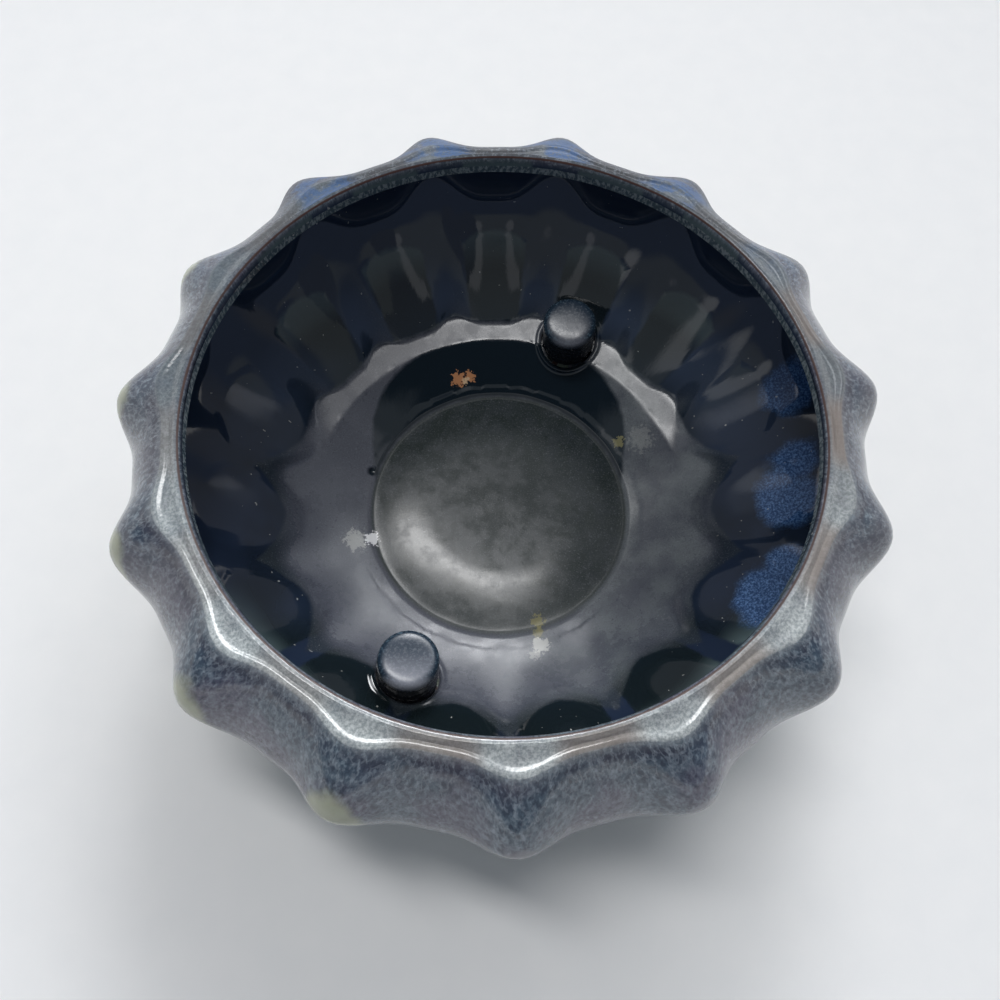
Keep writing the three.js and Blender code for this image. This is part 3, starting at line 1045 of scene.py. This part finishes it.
    outer_rough = glaze.rise(grain, 0.4, 0.65, *OUTSIDE_ROUGH)
    outer_rough = glaze.mix(far_side, outer_rough, FAR_ROUGH)
    slope_rough = glaze.rise(worn, 0.0, 1.0, *SLOPE_ROUGH)
    film_rough = glaze.mix(disc, slope_rough, glaze.rise(worn, 0.0, 1.0, *DISC_ROUGH))
    inner_rough = glaze.mix(film, INSIDE_ROUGH, film_rough)
    crease = glaze.rise(glaze.held("crease"), 0.1, 0.6)
    inner_rough = glaze.mix(crease, inner_rough, CREASE_ROUGH)
    rough = glaze.mix(bare, glaze.mix(inside, outer_rough, inner_rough), CLAY_ROUGH)
    glaze.coat("Roughness", rough)
    glaze.coat("IOR", GLAZE_IOR)
    satin = glaze.rise(glaze.minus(near_side, far_side), -1.0, 1.0, 0.10, 0.5)
    glaze.coat("Specular IOR Level", glaze.mix(inside, satin, 0.5))

    calmer = glaze.rise(inside, 0.0, 1.0, 1.0, 0.3)
    ripple = glaze.bump(glaze.times(glaze.cloud(place, SWELL_SCALE, 1.0), calmer), SWELL_DEPTH)
    lobe_edge = glaze.times(glaze.rise(glaze.held("lobe"), -2.0, 2.0, 1.0, 0.0), inside)
    lobe_edge = glaze.times(lobe_edge, glaze.rise(up, *LOBE_EDGE_CLIMB))
    ripple = glaze.bump(lobe_edge, LOBE_EDGE_DEPTH, ripple)
    grain_height = glaze.times(grain, glaze.rise(inside, 0.0, 1.0, 1.0, 0.25))
    ripple = glaze.bump(grain_height, GRAIN_DEPTH, ripple)
    glaze.coat("Normal", glaze.bump(glaze.times(pit, -1.0), PIT_DEPTH, ripple))
    return glaze.material


bowl.data.materials.clear()
bowl.data.materials.append(bowl_glaze())
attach(bowl, "bowl")
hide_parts("planter_bowl")

# Each drain plug is a turned stub of glazed stoneware that is pulled out with two fingers.
# Its stem goes through the floor and ends in a small flange that keeps the seal on.
HEAD_SHOULDER = 0.0042
HEAD_CROWN = 0.0004
CROWN_PULL = 0.84
PLUG_RING_DEPTH = 0.00030
PLUG_RING_COUNT = 4
HEAD_FOOT_ROUND = 0.001
HEAD_FOOT_STEPS = 4
HEAD_SIDE_STEPS = 48
CROWN_STEPS = 20
# Each plug's top is painted with a reflection, pale at the front and dark at the back
PLUG_TOPS_PAINTED_REFLECTION = {"front": colour(140, 143, 153), "rear": colour(104, 106, 114)}
PLUG_TOP_BACK_PAINTED_REFLECTION = colour(46, 58, 72)
PLUG_TEAL = colour(34, 48, 62)
PLUG_DARK = colour(22, 26, 34)
PLUG_BROWN = colour(58, 54, 54)
PLUG_FLECK = colour(132, 138, 148)
PLUG_GRAIN_SCALE = 900
PLUG_SWELL_SCALE = 160
PLUG_ROUGH = (0.22, 0.32)
PLUG_IOR = 1.52
PLUG_SWELL_DEPTH = 0.00008
PLUG_GRAIN_DEPTH = 0.00002

# The teal shoulder starts and ends at these heights from the top, and the flat top fades out
# between these distances from its middle. The top carries a painted reflection, pale at the
# front and dark at the back, and the pale front ends past the middle.
SHOULDER_CLIMB = (-0.0052, -0.0022)
TOP_EDGE = (0.0086, 0.0114)
TOP_REFLECTION_FRONT = (-0.0125, 0.0060)


def plug_section():
    head_low = TOUCH_GAP + SEAL_THICKNESS + TOUCH_GAP
    head_high = head_low + HEAD_HEIGHT
    flange_high = -SEAT_THICKNESS - SEAL_TAIL - TOUCH_GAP
    flange_low = flange_high - STEM_FLANGE_HEIGHT
    flange_radius = STEM_RADIUS + STEM_FLANGE
    points = [
        at(0, flange_low),
        at(STEM_RADIUS, flange_low),
        at(flange_radius, (flange_low + flange_high) / 2),
        at(flange_radius, flange_high),
        at(STEM_RADIUS, flange_high),
        at(STEM_RADIUS, head_low),
    ]
    corner = at(HEAD_RADIUS, head_low)
    corner_in = corner - at(HEAD_FOOT_ROUND, 0)
    points += curve([corner_in, corner, corner + at(0, HEAD_FOOT_ROUND)], HEAD_FOOT_STEPS)
    side_low = points[-1].y
    side_top = head_high - HEAD_SHOULDER
    for step in range(1, HEAD_SIDE_STEPS + 1):
        height = between(side_low, side_top, step / (HEAD_SIDE_STEPS + 1))
        share = (height - head_low) / (side_top - head_low)
        wave = (1 - math.cos(share * math.tau * PLUG_RING_COUNT)) / 2
        points.append(at(HEAD_RADIUS - PLUG_RING_DEPTH * wave, height))
    points += curve(
        [
            at(HEAD_RADIUS, side_top),
            at(HEAD_RADIUS, head_high - HEAD_CROWN),
            at(HEAD_RADIUS * CROWN_PULL, head_high),
            at(0, head_high),
        ],
        CROWN_STEPS,
    )
    return points


def turned_piece(points, name, angle):
    mesh = bmesh.new()
    join_up(mesh, [Vector((point.x, 0, point.y)) for point in points])
    turn_round(mesh, ROUND_SIDES)
    mesh.transform(drain_place(angle))
    made = to_object(mesh, name)
    smooth(made)
    return made


def plug_glaze(place_name, angle):
    glaze = Glaze(f"plug_glaze_{place_name}")
    place = glaze.place()
    grain = glaze.cloud(place, PLUG_GRAIN_SCALE, 4.0, 0.65)
    flecks = glaze.rise(grain, 0.5, 0.72)
    head_top = HEAD_HEIGHT + 2 * TOUCH_GAP + SEAL_THICKNESS
    top = drain_place(angle) @ Vector((0, 0, head_top))
    low = drain_place(angle) @ Vector((0, 0, -SEAT_THICKNESS))
    axis = (top - low).normalized()
    height = glaze.minus(glaze.measure("DOT_PRODUCT", place, axis), top.dot(axis))
    shoulder = glaze.rise(height, *SHOULDER_CLIMB)
    flat = glaze.rise(glaze.measure("DISTANCE", place, top), *TOP_EDGE, 1.0, 0.0)
    teal = glaze.blend(glaze.times(flecks, 0.6), PLUG_TEAL, POOL_LIGHT)
    body = glaze.blend(shoulder, glaze.blend(flecks, PLUG_DARK, PLUG_BROWN), teal)
    reflected_front = glaze.minus(glaze.split(place)[1], top.y)
    reflected_front = glaze.rise(reflected_front, *TOP_REFLECTION_FRONT, 1.0, 0.0)
    top_painted_reflection = glaze.blend(reflected_front, PLUG_TOP_BACK_PAINTED_REFLECTION, PLUG_TOPS_PAINTED_REFLECTION[place_name])
    top_painted_reflection = glaze.blend(glaze.times(flecks, 0.3), top_painted_reflection, PLUG_FLECK)
    # The front of the shoulder is painted pale as a reflection
    front_shoulder_painted_reflection = glaze.times(shoulder, glaze.rise(reflected_front, 0.75, 1.0, 0.0, 0.8))
    body = glaze.blend(front_shoulder_painted_reflection, body, PLUG_TOPS_PAINTED_REFLECTION[place_name])
    glaze.coat("Base Color", glaze.blend(flat, body, top_painted_reflection))
    glaze.coat("Roughness", glaze.rise(grain, 0.4, 0.65, *PLUG_ROUGH))
    glaze.coat("IOR", PLUG_IOR)
    ripple = glaze.bump(glaze.cloud(place, PLUG_SWELL_SCALE, 1.0), PLUG_SWELL_DEPTH)
    glaze.coat("Normal", glaze.bump(grain, PLUG_GRAIN_DEPTH, ripple))
    return glaze.material


for place_name, angle in PLUG_ANGLES.items():
    plug = turned_piece(plug_section(), f"glazed_plug_{place_name}", angle)
    plug.data.materials.append(plug_glaze(place_name, angle))
    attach(plug, f"{place_name}_plug")
    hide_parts(f"drain_plug_{place_name}")


# The seal is a soft rubber sleeve on the stem, with a flat flange that the head presses on.
# It stays on the stem when the plug is lifted out.
SEAL_ROUND = 0.0005
SEAL_ROUND_STEPS = 3
SEAL_SIDE_STEPS = 6
SEAL_EDGE_STEPS = 8
RUBBER = colour(22, 22, 24)
RUBBER_DUSTY = colour(44, 44, 46)
RUBBER_SCALE = 1400
RUBBER_ROUGH = (0.55, 0.75)
RUBBER_DEPTH = 0.00005


def seal_section():
    inside = STEM_RADIUS + TOUCH_GAP
    low = -SEAT_THICKNESS - SEAL_TAIL
    high = TOUCH_GAP + SEAL_THICKNESS
    outer = HOLE_RADIUS + SEAL_FLANGE
    edge = SEAL_THICKNESS / 2
    points = [at(inside, low), *straight(at(inside, low), at(SEAL_RADIUS - SEAL_ROUND, low), 2)]
    round_end = at(SEAL_RADIUS, low + SEAL_ROUND)
    points += curve([points[-1], at(SEAL_RADIUS, low), round_end], SEAL_ROUND_STEPS)
    points += straight(points[-1], at(SEAL_RADIUS, TOUCH_GAP), SEAL_SIDE_STEPS)
    points += straight(points[-1], at(outer - edge, TOUCH_GAP), 2)
    centre = at(outer - edge, TOUCH_GAP + edge)
    for step in range(1, SEAL_EDGE_STEPS + 1):
        turn = -math.pi / 2 + math.pi * step / SEAL_EDGE_STEPS
        points.append(centre + at(math.cos(turn), math.sin(turn)) * edge)
    points += straight(points[-1], at(inside, high), 2)
    points += straight(points[-1], at(inside, low), SEAL_EDGE_STEPS)
    return points


def seal_rubber():
    rubber = Glaze("seal_rubber")
    grain = rubber.cloud(rubber.place(), RUBBER_SCALE, 3.0, 0.6)
    dusty = rubber.rise(grain, 0.4, 0.7)
    rubber.coat("Base Color", rubber.blend(dusty, RUBBER, RUBBER_DUSTY))
    rubber.coat("Roughness", rubber.rise(grain, 0.3, 0.7, *RUBBER_ROUGH))
    rubber.coat("Normal", rubber.bump(grain, RUBBER_DEPTH))
    return rubber.material


rubber_material = seal_rubber()
for place_name, angle in PLUG_ANGLES.items():
    seal = turned_piece(seal_section(), f"rubber_seal_{place_name}", angle)
    seal.data.materials.append(rubber_material)
    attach(seal, f"{place_name}_plug")
    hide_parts(f"plug_seal_{place_name}")

# The planter stands on pale paper under one soft ceiling strip, in a room with bright patches
# behind it, which its glossy inside mirrors. The camera looks down into the bowl from the
# front, at the photograph's angle.
FLOOR_SIZE = 6.0
PAPER = colour(236, 236, 236)
PAPER_WARM = colour(242, 241, 240)
PAPER_SCALE = 60
mesh = bmesh.new()
bmesh.ops.create_grid(mesh, x_segments=1, y_segments=1, size=FLOOR_SIZE)
floor = to_object(mesh, "pale_floor")
paper = Glaze("pale_floor")
paper_grain = paper.cloud(paper.place(), PAPER_SCALE, 4.0)
paper.coat("Base Color", paper.blend(paper_grain, PAPER, PAPER_WARM))
paper.coat("Roughness", 0.9)
floor.data.materials.append(paper.material)

STRIP_PLACE = Vector((-0.20, 0.26, 1.5))
STRIP_AIM = Vector((0, 0, 0.06))
STRIP_SIZE = (0.24, 0.90)
STRIP_WATTS = 9.0
STRIP_TWIST = math.radians(30)
strip = bpy.data.lights.new("ceiling_strip", "AREA")
strip.shape = "RECTANGLE"
strip.size, strip.size_y = STRIP_SIZE
strip.energy = STRIP_WATTS
lamp = bpy.data.objects.new("ceiling_strip", strip)
lamp.location = STRIP_PLACE
facing = (STRIP_AIM - STRIP_PLACE).to_track_quat("-Z", "Y").to_matrix()
lamp.rotation_euler = (facing @ Matrix.Rotation(STRIP_TWIST, 3, "Z")).to_euler()
bpy.context.scene.collection.objects.link(lamp)


class RoomSky(Glaze):
    """The same short calls for the room all round."""

    def __init__(self, name):
        self.world = bpy.data.worlds.new(name)
        self.world.use_nodes = True
        self.tree = self.world.node_tree
        self.shader = self.tree.nodes["Background"]


# The room is dark low down and straight above the near side, with a paler ring between
BACK_HALF = (-0.05, 0.25)
RING_CLIMB = (0.53, 0.59)
TOP_CLIMB = (0.76, 0.80)
LOW_NEAR = (0.12, 0.15, 0.22, 1)
LOW_FAR = (0.20, 0.21, 0.23, 1)
RING_NEAR = (0.25, 0.28, 0.30, 1)
RING_FAR = (0.30, 0.32, 0.35, 1)
TOP_NEAR = (0.02, 0.022, 0.025, 1)
TOP_FAR = (0.34, 0.36, 0.38, 1)
sky = RoomSky("soft_room")
bpy.context.scene.world = sky.world
direction = sky.node("TexCoord").outputs["Generated"]
_, to_back, to_top = sky.split(direction)
back_side = sky.rise(to_back, *BACK_HALF)
tone = sky.blend(back_side, LOW_NEAR, LOW_FAR)
ring_tone = sky.blend(back_side, RING_NEAR, RING_FAR)
tone = sky.blend(sky.rise(to_top, *RING_CLIMB), tone, ring_tone)
top_tone = sky.blend(back_side, TOP_NEAR, TOP_FAR)
tone = sky.blend(sky.rise(to_top, *TOP_CLIMB), tone, top_tone)

# Each patch is (direction, inner angle, outer angle, brightness)
SKY_PATCHES = (
    ((0.53, 0.56, 0.63), 4, 9, (4.2, 4.4, 4.6, 1)),
    ((0.34, 0.76, 0.555), 4, 11, (7.6, 7.8, 8.0, 1)),
    ((0.08, 0.85, 0.52), 4, 12, (19.0, 19.3, 19.8, 1)),
    ((-0.14, 0.82, 0.56), 4, 8, (5.0, 5.1, 5.3, 1)),
    ((-0.77, -0.18, 0.61), 5, 10, (0.80, 0.84, 0.88, 1)),
    ((-0.70, 0.20, 0.68), 5, 12, (0.70, 0.74, 0.80, 1)),
    ((0.72, 0.11, 0.69), 5, 12, (0.65, 0.68, 0.74, 1)),
    ((-0.18, -0.66, 0.70), 4, 7, (0.55, 0.58, 0.62, 1)),
    ((0.28, -0.64, 0.70), 4, 7, (0.55, 0.58, 0.62, 1)),
    ((0.48, -0.62, 0.62), 8, 10, (0.14, 0.16, 0.20, 1)),
)
for towards, inner, outer, brightness in SKY_PATCHES:
    closeness = sky.measure("DOT_PRODUCT", direction, Vector(towards).normalized())
    edges = [math.cos(math.radians(turn)) for turn in (outer, inner)]
    tone = sky.blend(sky.rise(closeness, *edges), tone, brightness)

# Low down the room is pale all round, and glossy rays see it too. The camera sees it white.
PALE_WALL = (0.90, 0.90, 0.90, 1)
PALE_WALL_TOP = (0.10, 0.14)
PALE_WALL_TILT = -0.16
WHITE = (1, 1, 1, 1)
tilted = sky.reckon("MULTIPLY_ADD", back_side, PALE_WALL_TILT, to_top)
tone = sky.blend(sky.rise(tilted, *PALE_WALL_TOP), PALE_WALL, tone)
seen = sky.node("LightPath").outputs["Is Camera Ray"]
sky.coat("Color", sky.blend(seen, tone, WHITE))
sky.coat("Strength", 1.0)

CAMERA_PLACE = Vector((-0.009112, -0.139506, 0.362104))
CAMERA_RIGHT = Vector((0.99963, 0, 0.02734))
CAMERA_UP = Vector((-0.0103, 0.92632, 0.37659))
camera_data = bpy.data.cameras.new("camera")
camera_data.sensor_width = 36
camera_data.lens = 28.8
camera = bpy.data.objects.new("camera", camera_data)
bpy.context.scene.collection.objects.link(camera)
axes = Matrix((CAMERA_RIGHT, CAMERA_UP, CAMERA_RIGHT.cross(CAMERA_UP))).transposed()
camera.matrix_world = Matrix.Translation(CAMERA_PLACE) @ axes.to_4x4()
bpy.context.scene.camera = camera
bpy.context.scene.view_settings.view_transform = "Standard"
